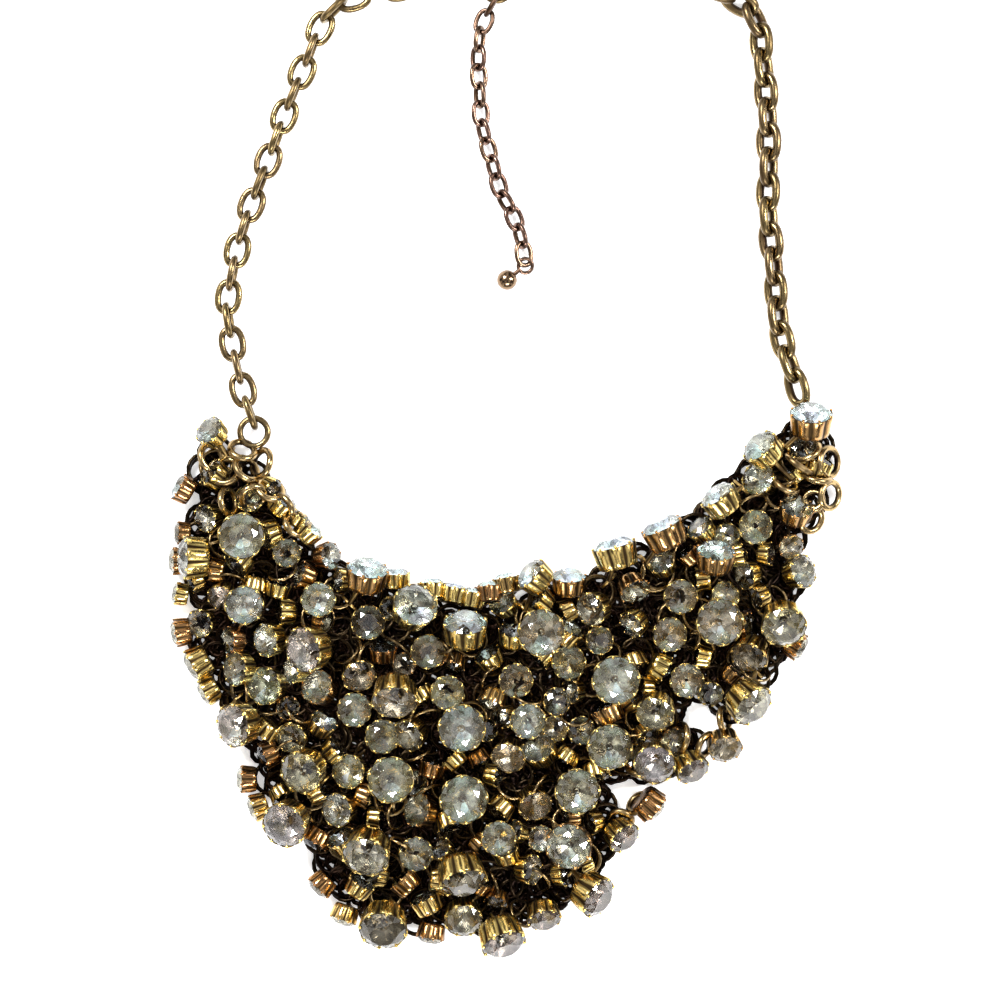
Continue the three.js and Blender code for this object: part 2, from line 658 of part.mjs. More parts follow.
add('chain_left', leftChain.solid, OLD_GOLD, FINISH.metal);
add('chain_right', rightChain.solid, OLD_GOLD, FINISH.metal);
add('extension_chain', tailChain.solid, DARK_BRASS, FINISH.metal);
add('jump_ring_left', flatRing(jumpRingPlace, JUMP_RING), OLD_GOLD, FINISH.metal);
add('extension_ring', flatRing(tailRingPlace, TAIL_RING), OLD_GOLD, FINISH.metal);

// The clasp: a plain block lying on its flat underside, with an upright eye at each end.
const claspShape = new THREE.Shape();
const claspSides = [CLASP_LENGTH / 2, CLASP_WIDTH / 2];
claspShape.moveTo(-claspSides[0] + CLASP_CORNER, -claspSides[1]);
claspShape.lineTo(claspSides[0] - CLASP_CORNER, -claspSides[1]);
claspShape.lineTo(claspSides[0], -claspSides[1] + CLASP_CORNER);
claspShape.lineTo(claspSides[0], claspSides[1] - CLASP_CORNER);
claspShape.lineTo(claspSides[0] - CLASP_CORNER, claspSides[1]);
claspShape.lineTo(-claspSides[0] + CLASP_CORNER, claspSides[1]);
claspShape.lineTo(-claspSides[0], claspSides[1] - CLASP_CORNER);
claspShape.lineTo(-claspSides[0], -claspSides[1] + CLASP_CORNER);
claspShape.closePath();
const claspGeometry = new THREE.ExtrudeGeometry(claspShape, { depth: CLASP_HEIGHT, bevelEnabled: false });
claspGeometry.translate(claspHeart.x, claspHeart.y, 0);
const claspLeftHeld = leftChain.last.end.clone()
  .addScaledVector(leftChain.last.along, (SIDE_LINK.wire - LINK_FUSE) / 2);
const claspLeftEye = eyeSolid(claspLeftHeld, right, UP, SIDE_LINK.wire);
const clasp = joined([
  solidOf(claspGeometry),
  claspLeftEye.solid,
  claspRightEye.solid,
  postSolid(claspLeftEye.foot, claspHeart, CLASP_POST),
  postSolid(claspRightEye.foot, claspHeart, CLASP_POST),
]);
add('clasp', clasp, OLD_GOLD, FINISH.metal);

// The ball at the end of the extension chain, with a small eye through the chain's last link.
const ballGeometry = new THREE.SphereGeometry(BALL_DIAMETER / 2, BALL_SIDES, BALL_SIDES / 2);
const ballMiddle = onLoop(BALL_PLACE, BALL_DIAMETER / 2);
ballGeometry.translate(ballMiddle.x, ballMiddle.y, ballMiddle.z);
const tailHeld = tailChain.last.end.clone()
  .addScaledVector(tailChain.last.along, (TAIL_LINK.wire - LINK_FUSE) / 2);
const tailNormal = new THREE.Vector3().crossVectors(tailChain.last.along, tailChain.last.across);
const tailEye = eyeSolid(tailHeld, tailChain.last.along, tailNormal, TAIL_LINK.wire);
const ball = joined([
  solidOf(ballGeometry),
  tailEye.solid,
  postSolid(tailEye.foot, ballMiddle, EYE_WIRE),
]);
add('end_ball', ball, DARK_BRASS, FINISH.metal);

// The whole necklace stands with the middle of its footprint at the origin.
const box = new THREE.Box3().setFromObject(necklace);
const shift = box.getCenter(new THREE.Vector3()).negate();
shift.z = -box.min.z;
for (const mesh of necklace.children) {
  mesh.geometry.translate(shift.x, shift.y, shift.z);
}

export default necklace;
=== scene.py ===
# %% [markdown]
# # A bib necklace laid flat
# The necklace is a bib of cut stones on a net of jump rings, held by two chains, with an extension chain
# that ends in a ball. The solid model already gives every piece its place, so this script loads it and
# dresses it: each new mesh rides on the same body and takes over from a plain solid. Lengths here are in
# millimetres, while the frame is in metres: MM turns one into the other, and METRE turns it back.

import math
import random

import bpy
import numpy as np
from mathutils import Matrix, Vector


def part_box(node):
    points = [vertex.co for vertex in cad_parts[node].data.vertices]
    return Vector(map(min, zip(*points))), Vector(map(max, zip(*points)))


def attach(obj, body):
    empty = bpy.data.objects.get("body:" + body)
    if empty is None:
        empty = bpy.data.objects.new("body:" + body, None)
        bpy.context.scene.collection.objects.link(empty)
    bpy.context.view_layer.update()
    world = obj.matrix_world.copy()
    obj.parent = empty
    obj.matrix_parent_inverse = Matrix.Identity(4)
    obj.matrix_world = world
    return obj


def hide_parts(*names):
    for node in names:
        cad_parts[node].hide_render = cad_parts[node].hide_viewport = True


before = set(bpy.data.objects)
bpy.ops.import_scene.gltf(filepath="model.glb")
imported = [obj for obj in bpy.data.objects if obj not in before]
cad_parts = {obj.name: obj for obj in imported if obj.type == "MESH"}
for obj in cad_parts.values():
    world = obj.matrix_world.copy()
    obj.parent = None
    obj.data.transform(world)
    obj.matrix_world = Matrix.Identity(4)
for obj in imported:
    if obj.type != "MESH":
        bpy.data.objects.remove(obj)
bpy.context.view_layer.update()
MM = 0.001
METRE = 1000
print("nodes", len(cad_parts))

# %% [markdown]
# Nobody could guess where some 120 stones lie, so they were read off the photo one by one. A pixel is taken
# as 0.2 mm. A table of percents of the bib's width and drop is easy to correct by eye, and SHIFT moves the
# places to where the solid model stands. Each row gives across, down, size, turn, tilt, glass and the
# copper share of the metal. LOOSE has the 40 stones that are solids of their own, SET the smaller ones.

# %% Sizes and places
BIB_WIDTH, BIB_DROP = 136.0, 110.0
SHIFT_X = 1.2
SHIFT_Y = 11.05
SIZES = {"T": 5.0, "S": 6.0, "M": 7.2, "L": 8.0}

# Each row: across, down, size, turn, tilt, glass, copper share of the metal.
LOOSE = """
 10.7  23.8  9.6    0   5 khaki  0   |   4.1  27.6  9.0  180  78 blue   0
  6.5   5.3  6.4  135  45 grey   0   |  29.0  31.5  8.8   80  65 grey   .8
 35.9  37.1  9.4   60  30 aqua   0   |  43.5  41.3  9.2   90  60 aqua   .1
 54.4  41.1  9.8    0   8 tan    0   |  65.6  27.5  9.2  105  84 aqua   .2
 72.9  23.8  9.0  115  80 aqua   .8  |  80.6  39.3  9.8    0   5 tan    .1
 94.1   3.5  9.0   90  62 aqua   .8  |  90.1  39.1  9.4  270  30 khaki  0
 20.9  44.0  9.6  190  40 pink   0   |  33.2  52.2  9.6  270  45 tan    .2
 42.9  58.5  9.8    0   5 blue   0   |  65.4  49.8   10    0   5 aqua   0
 84.6  53.3  9.4  315  50 grey   0   |  64.4  61.8  9.4    0   8 khaki  0
 10.6  57.8  9.2  190  40 pink   .2  |  20.1  66.0  9.2  215  30 khaki  .1
 32.5  67.8  9.6    0   5 khaki  0   |  59.7  69.8  9.4    0   8 khaki  .1
 43.2  71.3   10    0   5 aqua   0   |  17.6  75.5  9.6  220  25 violet .1
 29.3  80.4   10  250  35 grey   .1  |  59.0  79.6  9.6  200  15 aqua   .8
 61.8  88.2  9.0  330  55 plum   .1  |  31.6  93.6   10  265  35 dark   0
 42.9  84.5   10  285  55 dark   .1  |  48.7  95.8  9.6  290  55 plum   0
 11.0  36.2  8.0    0   8 blue   0   |  80.1  28.2  8.2   85  62 aqua   .8
 81.2  17.8  8.0  125  75 aqua   .2  |  87.4   8.5  8.0  135  62 aqua   .1
 71.5  55.1  8.0  250  30 khaki  0   |  71.3  64.5  8.6  260  20 violet .1
 54.0  31.5  7.4  140  70 aqua   .1  |  21.9  35.3  7.2    0   5 aqua   0
 52.6  57.3  7.4    0   5 aqua   0   |  48.2  78.4  7.2    0   8 grey   .1
"""
SET = """
  2.1  15.5    S  150  80 dark   .9  |   5.7  20.4    S  200  40 grey   0
 11.6  17.3    S   90  20 green  0   |  16.9  26.9    S    0  10 grey   0
 20.0  23.3    S   45  80 grey   0   |   1.9  23.3    T  180  80 grey   .9
  1.5  28.4    S  180  85 grey   .9  |   1.6  34.5    T  170  85 grey   .1
  7.6  34.4    S  250  35 pink   0   |   4.6  39.6    S  200  25 tan    0
  1.8  41.3    S  190  85 grey   .9  |   4.4  46.7    M  210  85 grey   .2
  5.9  51.8    S  210  85 grey   .2  |   9.4  42.9    S  180  60 grey   .9
 10.4  48.0    M  180  45 grey   0   |  14.4  51.1    L  180  25 green  0
 14.9  42.7    M  185  45 white  0   |  17.2  37.6    S  180  80 grey   0
 22.8  27.6    S   10  50 grey   .9  |  25.3  31.8    T  180  60 white  0
 29.0  39.6    M    0   5 dark   .2  |  33.2  32.0    S   90  85 grey   .1
 38.5  33.9    S   90  97 grey   .1  |  41.6  34.8    S   80  98 grey   .1
 44.3  35.6    S   80  96 grey   .2  |  47.0  34.4    S   95  96 grey   .9
 49.6  32.9    S  100  95 grey   .6  |  49.3  36.5    S  130  45 aqua   .1
 58.7  32.7    M   90  70 aqua   .8  |  62.6  36.9    M  200  40 grey   .1
 68.5  39.5    S  215  50 grey   .1  |  72.5  29.1    S  120  40 grey   .1
 78.5  23.1    S  130  60 grey   .1  |  75.0  34.9    M    0   8 tan    0
 73.4  41.8    M    0   8 tan    0   |  85.3  30.9    S  190  50 grey   .1
 86.0  22.2    M    0  10 khaki  0   |  87.1  13.8    M  150  35 aqua   .1
 92.1  19.6    M   80  50 aqua   .8  |  92.4  30.5    M   20  40 grey   0
 91.9  43.6    S  330  80 grey   .9  |  85.6  44.9    L  240  45 tan    .3
 27.5  48.7    M  300  30 tan    .1  |  31.3  45.3    S   90  70 grey   .9
 37.8  44.9    M    0   5 tan    0   |  22.1  51.8    M  140  35 grey   .8
 26.9  55.5    M    0   8 grey   0   |  40.6  52.4    M    0   8 khaki  0
 47.1  46.4    S  120  70 grey   .1  |  47.5  53.3    S  250  70 grey   .6
 50.7  50.2    M    0   8 tan    0   |  58.5  46.9    M    0   8 khaki  0
 62.9  42.9    S    0  20 dark   .2  |  56.6  54.0    S    0  20 dark   .2
 75.9  50.2    M    0   8 tan    0   |  22.2  58.5    S   60  60 grey   .4
 31.0  60.4    M    0   8 khaki  0   |  35.6  59.6    M  215  40 grey   .1
 54.6  63.3    M  120  45 khaki  .1  |  49.9  63.5    M  250  30 tan    .3
 45.4  64.2    T  300  80 grey   .9  |  60.3  59.3    S    0  15 dark   .2
 81.6  61.6    M  280  40 tan    .6  |  76.5  65.6    M  300  50 plum   0
 26.6  66.7    M  180  20 khaki  0   |  38.5  66.5    S   75  85 grey   .9
 53.4  72.2    M  300  35 tan    .3  |  11.5  68.2    S  180  85 grey   .9
 13.2  73.1    S  200  85 grey   .5  |  14.7  63.6    S  200  80 dark   .9
 25.1  73.6    M  190  30 blue   0   |  37.1  74.0    M  160  45 grey   .8
 21.6  78.7    S  240  80 grey   .9  |  36.0  81.8    M    0   8 grey   0
 66.2  78.0    M  315  50 plum   0   |  70.3  72.4    M  320 100 grey   .9
 22.5  87.1    S  225  85 dark   .9  |  25.7  92.5    S  250  85 grey   .5
 38.4  95.8    S  260  85 grey   .9  |  43.1  92.9    L  275  30 grey   0
 54.9  92.5    M  280  50 plum   .3  |  16.1  18.4    S   50  75 tan    .1
 18.5  21.0    T   60  85 grey   .2  |  14.4  15.0    T  330  60 tan    .1
"""


def rows_of(text):
    return [row.split() for row in text.replace("\n", "|").split("|") if row.strip()]


def here(across, down):
    return BIB_WIDTH * (across / 100 - 0.5) + SHIFT_X, -BIB_DROP * down / 100 + SHIFT_Y


def read_stones(text):
    stones = []
    for across, down, size, turn, tilt, glass, copper in rows_of(text):
        size = SIZES.get(size) or float(size)
        place = here(float(across), float(down))
        stones.append((*place, size, float(turn), float(tilt), glass, float(copper)))
    return stones


loose_rows, set_rows = read_stones(LOOSE), read_stones(SET)
print("loose", len(loose_rows), "set", len(set_rows))

# %% [markdown]
# The bib's outline is a list of corner points, also in percents. It keeps rings and small stones inside the
# shape, and the two round gaps at the lower right stay open. A ray test tells whether a point is inside.

# %% Outline and gaps
OUTLINE = [
    (3.4, 5.6), (8.0, 3.6), (9.4, 10.2), (14.6, 10.4), (16.4, 15.0), (19.1, 22.7), (25.7, 29.1), (33.8, 33.6),
    (41.2, 36.4), (48.5, 35.1), (55.1, 31.8), (63.2, 29.1), (70.6, 23.6), (77.9, 17.3), (84.6, 9.1),
    (90.4, 2.6), (96.3, 2.2), (98.2, 8.2), (97.4, 17.3), (93.8, 24.5), (93.4, 35.5), (92.6, 44.5),
    (87.5, 53.6), (83.1, 60.0), (77.9, 65.5), (72.1, 70.0), (69.1, 76.4), (65.0, 84.5), (61.0, 91.8),
    (54.4, 95.5), (47.1, 98.2), (38.2, 96.4), (31.6, 96.4), (25.7, 92.7), (21.8, 86.4), (19.1, 80.0),
    (14.0, 74.5), (11.8, 66.4), (8.1, 58.2), (5.1, 51.8), (2.2, 42.7), (1.5, 33.6), (1.5, 24.5), (2.2, 13.6),
]
SEE_THROUGH = [((78.0, 57.1), 2.3), ((67.1, 71.1), 2.2)]
holes = [(here(*p), r) for p, r in SEE_THROUGH]
border = [here(*p) for p in OUTLINE]


def inside(x, y):
    hit = False
    for (ax, ay), (bx, by) in zip(border, border[1:] + border[:1]):
        if (ay > y) != (by > y) and x < (bx - ax) * (y - ay) / (by - ay) + ax:
            hit = not hit
    return hit


def clear_of_edge(x, y, gap):
    round_it = np.linspace(0, 2 * math.pi, 9)
    return all(inside(x + gap * math.cos(a), y + gap * math.sin(a)) for a in round_it)


def in_gap(x, y, room):
    return any(math.hypot(x - hx, y - hy) < r + room for (hx, hy), r in holes)


print("corners of the outline", len(border), "gaps", len(holes))

# %% [markdown]
# A small stone lies at its own angle, so each shape needs a rotation matrix. One helper builds it from the
# way that the shape's own z axis has to point. Another turns a compass angle and a tilt into that way.

# %% Turning and facing
def turn_to(direction, spin=0.0):
    z = np.array(direction, float)
    z /= np.linalg.norm(z)
    x = np.cross((0, 0, 1), z)
    x = np.array((1.0, 0, 0)) if np.linalg.norm(x) < 1e-6 else x / np.linalg.norm(x)
    y = np.cross(z, x)
    c, s = math.cos(spin), math.sin(spin)
    return np.stack((x * c + y * s, y * c - x * s, z), axis=1)


def facing(turn, tilt):
    a, b = math.radians(turn), math.radians(tilt)
    return np.array((math.sin(b) * math.cos(a), math.sin(b) * math.sin(a), math.cos(b)))


print("a stone turned 90 and tilted 60 faces", facing(90, 60).round(2))

# %% [markdown]
# Hundreds of rings and cups as objects of their own would be slow and hard to handle. A Heap gathers many
# copies of small shapes into one mesh instead. It keeps two numbers at each point, one of wear and painted
# shade and one of copper share, which on the net is painted shade, and a colour, tint, which the materials
# read later, so one material can serve pieces of differing tone and painted shade.

# %% A heap of shapes
UPRIGHT = np.eye(3)
triangles = {}


class Heap:
    def __init__(self):
        self.points, self.faces, self.slots = [], [], []
        self.wear, self.copper, self.tint, self.count = [], [], [], 0

    def add(self, shape, matrix, scale, place, copper=0.0, tint=(1, 1, 1)):
        points, faces, slots, wear = shape
        self.points.append((points * scale) @ matrix.T + np.array(place))
        self.faces += [[i + self.count for i in f] for f in faces]
        self.slots += slots
        self.wear.append(wear)
        self.copper.append(np.full(len(points), copper))
        self.tint.append(np.tile((*tint, 1.0), (len(points), 1)))
        self.count += len(points)

    def build(self, name, materials, smooth=True):
        mesh = bpy.data.meshes.new(name)
        mesh.from_pydata((np.concatenate(self.points) * MM).tolist(), [], self.faces)
        for key, values in (("wear", self.wear), ("copper", self.copper)):
            layer = mesh.attributes.new(key, "FLOAT", "POINT")
            layer.data.foreach_set("value", np.concatenate(values))
        tint = mesh.attributes.new("tint", "FLOAT_COLOR", "POINT")
        tint.data.foreach_set("color", np.concatenate(self.tint).ravel())
        for material in materials:
            mesh.materials.append(material)
        mesh.polygons.foreach_set("material_index", self.slots)
        mesh.polygons.foreach_set("use_smooth", [smooth] * len(self.faces))
        mesh.update()
        thing = bpy.data.objects.new(name, mesh)
        bpy.context.scene.collection.objects.link(thing)
        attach(thing, "root")
        triangles[name] = sum(len(f) - 2 for f in self.faces)
        return thing


print("heaps of shapes are ready, built so far:", len(triangles))

# %% [markdown]
# Rings, links, balls and posts of wire are all round, so one function turns a profile about an axis, as on
# a lathe. Each point also gets a value of wear and painted shade: on a wire it is high on the top and bottom
# faces and low on the sides, lowest on the inside of a ring, so the sides are painted dark as shade.
# A link is an oval, a little squarer than an ellipse, swept by the same round section.

# %% Round shapes
END_POWER, SIDE_POWER = 0.9, 0.75


def revolve(profile, sides, shape_at=None, closed=False):
    rows = len(profile)
    points, wear = [], []
    for i in range(sides):
        angle = 2 * math.pi * i / sides
        for j, (r, z, w) in enumerate(profile):
            k, extra = shape_at(angle, j) if shape_at else (1.0, 0.0)
            points.append((r * k * math.cos(angle), r * k * math.sin(angle), z))
            wear.append(min(1.0, max(0.0, w + extra)))
    faces = []
    for i in range(sides):
        n = (i + 1) % sides
        for j in range(rows if closed else rows - 1):
            m = (j + 1) % rows
            faces.append([i * rows + j, n * rows + j, n * rows + m, i * rows + m])
    return np.array(points), faces, [0] * len(faces), np.array(wear)


# Wear and painted shade: a wire is bright on its top and bottom and painted dark on its sides as shade.
def wire_wear_and_shade(angle):
    return 0.12 + 0.55 * abs(math.sin(angle)) + 0.2 * max(0.0, math.cos(angle))


def torus(radius, wire, segments=20, sides=8):
    profile = []
    for j in range(sides):
        a = 2 * math.pi * (j + 0.5) / sides
        profile.append((radius + wire / 2 * math.cos(a), wire / 2 * math.sin(a), wire_wear_and_shade(a)))
    return revolve(profile, segments, closed=True)


def link(half_length, half_width, wire, segments=32, sides=10):
    _, faces, slots, _ = torus(1.0, 0.0, segments, sides)
    points, wear = [], []
    for i in range(segments):
        t = 2 * math.pi * i / segments
        c, s = math.cos(t), math.sin(t)
        middle = np.array((half_length * math.copysign(abs(c) ** END_POWER, c),
                           half_width * math.copysign(abs(s) ** SIDE_POWER, s), 0))
        out = np.array((c * half_width, s * half_length, 0))
        out /= np.linalg.norm(out)
        for j in range(sides):
            a = 2 * math.pi * (j + 0.5) / sides
            up = np.array((0, 0, wire / 2 * math.sin(a)))
            points.append(middle + out * wire / 2 * math.cos(a) + up)
            wear.append(wire_wear_and_shade(a))
    return np.array(points), faces, slots, np.array(wear)


def post(width, length, sides=8, wear=0.4):
    return revolve([(width / 2, 0, wear), (width / 2, length, wear)], sides)


def ball(sides=10, rows=6):
    turns = [math.pi * j / rows for j in range(rows + 1)]
    return revolve([(math.sin(a), -math.cos(a), 0.9) for a in turns], sides)


print("faces of a ring", len(torus(1.0, 0.2)[1]), "and of a link", len(link(3.0, 2.0, 1.0)[1]))

# %% [markdown]
# Each stone sits in a stamped metal cup with eight flutes, and each flute ends in a prong bent over the
# stone. A turned bowl whose radius waves with the angle gives the flutes, and flattened balls give the
# prongs. Both are made for a radius of 1 and scaled to each stone.

# %% The fluted cup
PRONGS = 8
FLUTE_DEPTHS = (0.0, 0.05, 0.11, 0.13, 0.12, 0.10, 0.05, 0.0)
PRONG_SIZE = np.array((0.075, 0.09, 0.06))
PRONG_RADIUS, PRONG_HEIGHT = 0.92, 0.54


def joined(*shapes):
    points, faces, slots, wear, count = [], [], [], [], 0
    for p, f, s, w in shapes:
        points.append(p)
        faces += [[i + count for i in face] for face in f]
        slots += s
        wear.append(w)
        count += len(p)
    return np.concatenate(points), faces, slots, np.concatenate(wear)


def moved(shape, matrix, scale=1.0, place=(0, 0, 0)):
    p, f, s, w = shape
    return (p * scale) @ matrix.T + np.array(place), f, s, w


def flute(angle, row):
    wave = abs(math.cos(PRONGS * angle / 2)) ** 0.7
    depth = FLUTE_DEPTHS[row]
    return 1.0 + depth * (wave - 1.0), 0.9 * (wave - 0.62) * (depth > 0)


# Each row: radius, height, how bright the metal is, from the middle of the floor up and over the lip.
cup_profile = [
    (0.0, -0.5, 0.3), (0.74, -0.5, 0.5), (0.85, -0.44, 0.8), (0.91, -0.22, 0.6), (0.96, 0.2, 0.6),
    (1.0, 0.44, 0.55), (0.97, 0.51, 0.35), (0.91, 0.42, 0.0),
]
prongs = []
for i in range(PRONGS):
    a = 2 * math.pi * i / PRONGS
    along = np.array(((math.sin(a), math.cos(a), 0), (-math.cos(a), math.sin(a), 0), (0, 0, 1.0)))
    place = (PRONG_RADIUS * math.cos(a), PRONG_RADIUS * math.sin(a), PRONG_HEIGHT)
    prongs.append(moved(ball(6, 4), along, PRONG_SIZE, place))
CUP = joined(revolve(cup_profile, PRONGS * 6, flute), *prongs)
print("cup faces", len(CUP[1]))

# %% [markdown]
# The stone is built facet by facet, since flat facets are what makes it sparkle: a table, stars, kites and
# girdle facets on top, and foiled facets meeting in a tip below. The points lie on four rings and the tip,
# and each eighth of the stone adds the same facets. Slot 0 is the clear top and slot 1 the foiled back.

# %% The cut stone
# Each row: points, turn in steps, radius, height.
GEM_RINGS = [
    (8, 0.0, 0.52, 0.33), (8, 0.5, 0.73, 0.22), (16, 0.0, 0.93, 0.0), (8, 0.5, 0.42, -0.38),
    (1, 0, 0, -0.62),
]
GEM_LIFT = 0.5


def gem_shape():
    points, start = [], []
    for count, offset, radius, height in GEM_RINGS:
        start.append(len(points))
        for k in range(count):
            a = 2 * math.pi * (k + offset) / count
            points.append((radius * math.cos(a), radius * math.sin(a), height + GEM_LIFT))
    t, m, g, p, culet = start
    faces, slots = [[t + k for k in range(8)]], [0]
    for k in range(8):
        n, q = (k + 1) % 8, (k - 1) % 8
        faces.append([t + k, m + k, t + n])
        faces.append([t + k, m + q, g + 2 * k, m + k])
        faces.append([m + k, g + 2 * k, g + 2 * k + 1])
        faces.append([m + k, g + 2 * k + 1, g + (2 * k + 2) % 16])
        slots += [0] * 4
        faces.append([p + k, g + 2 * k + 1, g + 2 * k])
        faces.append([p + k, g + (2 * k + 2) % 16, g + 2 * k + 1])
        faces.append([p + k, g + 2 * k, p + q, culet])
        slots += [1] * 3
    return np.array(points), faces, slots, np.full(len(points), 0.5)


GEM = gem_shape()
print("gem faces", len(GEM[1]))

# %% [markdown]
# Materials on worn metal mix many small effects. Wired by hand, such sums are hard to read, so Val stands
# for a node's output and lets them be written as plain sums. A Tree makes nodes, and a Shade is the
# tree of one material.

# %% Socket sums
class Val:
    def __init__(self, shade, out):
        self.shade, self.out = shade, out

    def maths(self, op, a, b):
        return self.shade.node("ShaderNodeMath", {"operation": op}, {0: a, 1: b})

    def __add__(self, o):
        return self.maths("ADD", self, o)

    def __radd__(self, o):
        return self.maths("ADD", o, self)

    def __sub__(self, o):
        return self.maths("SUBTRACT", self, o)

    def __rsub__(self, o):
        return self.maths("SUBTRACT", o, self)

    def __mul__(self, o):
        return self.maths("MULTIPLY", self, o)

    def __rmul__(self, o):
        return self.maths("MULTIPLY", o, self)

    def clamp(self):
        return self.shade.node("ShaderNodeClamp", {}, {"Value": self})


class Tree:
    def __init__(self, tree):
        self.tree = tree

    def plug(self, socket, value):
        if isinstance(value, Val):
            self.tree.links.new(value.out, socket)
        elif isinstance(value, tuple) and len(value) == 3 and socket.type == "RGBA":
            socket.default_value = (*value, 1.0)
        else:
            socket.default_value = value

    def node(self, kind, settings=None, inputs=None, out=0):
        node = self.tree.nodes.new(kind)
        for key, value in (settings or {}).items():
            setattr(node, key, value)
        for key, value in (inputs or {}).items():
            self.plug(node.inputs[key], value)
        return Val(self, node.outputs[out])

    def mix(self, share, a, b):
        return self.node("ShaderNodeMix", {"data_type": "RGBA"}, {0: share, 6: a, 7: b}, 2)

    def sine(self, value):
        return self.node("ShaderNodeMath", {"operation": "SINE"}, {0: value})


class Shade(Tree):
    def __init__(self, name, **constants):
        self.material = bpy.data.materials.new(name)
        self.material.use_nodes = True
        super().__init__(self.material.node_tree)
        self.main = self.tree.nodes["Principled BSDF"]
        self.set(**constants)

    def set(self, **inputs):
        for key, value in inputs.items():
            self.plug(self.main.inputs[key.replace("_", " ")], value)

    def named(self, name, out="Fac"):
        return self.node("ShaderNodeAttribute", {"attribute_name": name}, {}, out)

    def noise(self, scale, detail=3.0):
        where = self.node("ShaderNodeTexCoord", {}, {}, "Object")
        inputs = {"Vector": where, "Scale": scale, "Detail": detail}
        return self.node("ShaderNodeTexNoise", {}, inputs, 0)

    def bump(self, height, distance):
        self.set(Normal=self.node("ShaderNodeBump", {}, {"Height": height, "Distance": distance}))


print("materials so far", len(bpy.data.materials))

# %% [markdown]
# The metal is plated brass, darker in its hollows, with a few copper-red cups. Noise breaks up the value
# of wear and painted shade given at each point. Where it is high the metal is bright and smooth, and where
# it is low it is dark and rougher, so the sides of each wire are painted dark as shade. The same recipe
# with other colours gives the cups, the chains and the net, and the wire of the last two has more contrast.
# On the net, the colour passed as copper is nearly black: painted shade for the shadow between the stones.

# %% Aged metal
GRAIN, CLOUD, GRAIN_DEPTH = 900.0, 160.0, 0.00006


def aged_metal(name, bright, copper, dark, rough, contrast):
    s = Shade(name, Metallic=1.0)
    grain, cloud = s.noise(GRAIN, 4.0), s.noise(CLOUD, 2.0)
    # Low values mix towards the dark colour, which on the sides of wires is painted shade.
    wear = ((s.named("wear") + (cloud - 0.5) * 0.8 - 0.4) * contrast + 0.28).clamp()
    metal = s.mix(s.named("copper"), bright, copper)
    s.set(Base_Color=s.mix(wear, dark, metal))
    s.set(Roughness=(rough + (1.0 - wear) * 0.25 + (grain - 0.5) * 0.2).clamp())
    s.bump(grain, GRAIN_DEPTH)
    return s.material


cup_metal = aged_metal(
    "cup_metal", bright=(0.74, 0.55, 0.185), copper=(0.30, 0.14, 0.06), dark=(0.028, 0.017, 0.007),
    rough=0.18, contrast=1.7)
chain_metal = aged_metal(
    "chain_metal", bright=(0.21, 0.15, 0.065), copper=(0.15, 0.088, 0.066), dark=(0.03, 0.016, 0.008),
    rough=0.2, contrast=2.2)
net_metal = aged_metal(
    # Painted shade: on the net the copper colour is nearly black and stands in for shadow.
    "net_metal", bright=(0.41, 0.285, 0.13), copper=(0.004, 0.0025, 0.002), dark=(0.010, 0.005, 0.003),
    rough=0.2, contrast=3.0)
print("metals", len(bpy.data.materials))

# %% [markdown]
# The stones are clear glass with a mirror foil behind. Real glass over a slightly rough metal gives depth
# that a painted colour can't. The foil takes each stone's tint, soft dark patches break it up, and its
# facets on one side are paler and cooler, as the sky's reflection shows there in the photo.

# %% Glass and foil
glass = Shade("stone_glass", Transmission_Weight=1.0, IOR=1.5, Roughness=0.05)
glass.set(Base_Color=(0.95, 0.96, 0.92))
foil = Shade("stone_foil", Metallic=1.0, Roughness=0.23)
sheen = foil.noise(300.0, 1.0)
normal = foil.node("ShaderNodeNewGeometry", {}, {}, "Normal")
# Painted reflection: facets on one side of the foil turn pale and cool, as the sky would show in them.
sky_reflection_side = ((foil.node("ShaderNodeSeparateXYZ", {}, {0: normal}, "Y") - 0.38) * 5.0).clamp()
painted_sky_reflection = foil.mix((sheen * 3.0 - 1.1).clamp(), (0.72, 0.91, 0.90), (0.68, 0.71, 0.88))
# Painted reflection: soft dark patches stand for facets that mirror dark surroundings.
painted_dark_reflections = (foil.noise(420.0, 2.0) * 5.0 - 1.8).clamp()
tinted = foil.mix(painted_dark_reflections, (0.23, 0.195, 0.145), foil.named("tint", "Color"))
foil.set(Base_Color=foil.mix(sky_reflection_side, tinted, painted_sky_reflection))
STONE = [glass.material, foil.material]
# plum and dark darken the foil; on the tilted stones, which carry most of them, it is painted shade.
TINTS = {
    "khaki": (0.52, 0.49, 0.37), "blue": (0.57, 0.57, 0.54), "grey": (0.55, 0.52, 0.43),
    "aqua": (0.60, 0.60, 0.51), "tan": (0.54, 0.47, 0.37), "pink": (0.62, 0.54, 0.49),
    "violet": (0.56, 0.52, 0.53), "green": (0.53, 0.54, 0.40), "white": (0.86, 0.87, 0.80),
    "dark": (0.26, 0.23, 0.18), "plum": (0.27, 0.22, 0.20),
}
print("materials", len(bpy.data.materials), "tints", len(TINTS))

# %% [markdown]
# Each loose stone is placed on its own solid: the flat table is the part of the solid furthest along the
# way it faces, so the dressed stone can't drift from it. Below it hangs a small ring round a ring of the
# net, joined to the cup by a post. The solid's lowest points show where that ring is and how it is turned.

# %% Loose stones
CUP_DEPTH = 0.85
BAIL_RADIUS, BAIL_WIRE, BAIL_HEIGHT = 1.88, 0.7, 2.5
STEM_WIDTH, STEM_FOOT, STEM_WEAR = 1.0, 4.4, 0.3
BAIL_TOP = 2.4


def middle_of_cup(points, out, size):
    reach = points @ out
    table = points[reach > reach.max() - 0.05].mean(axis=0)
    return table - out * size / 2 * CUP_DEPTH


def place_of_bail(points):
    low = points[points[:, 2] < BAIL_TOP][:, :2]
    heart = low.mean(axis=0)
    return heart, np.linalg.eigh(np.cov((low - heart).T))[1][:, 1]


def dress(piece, node):
    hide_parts(node)


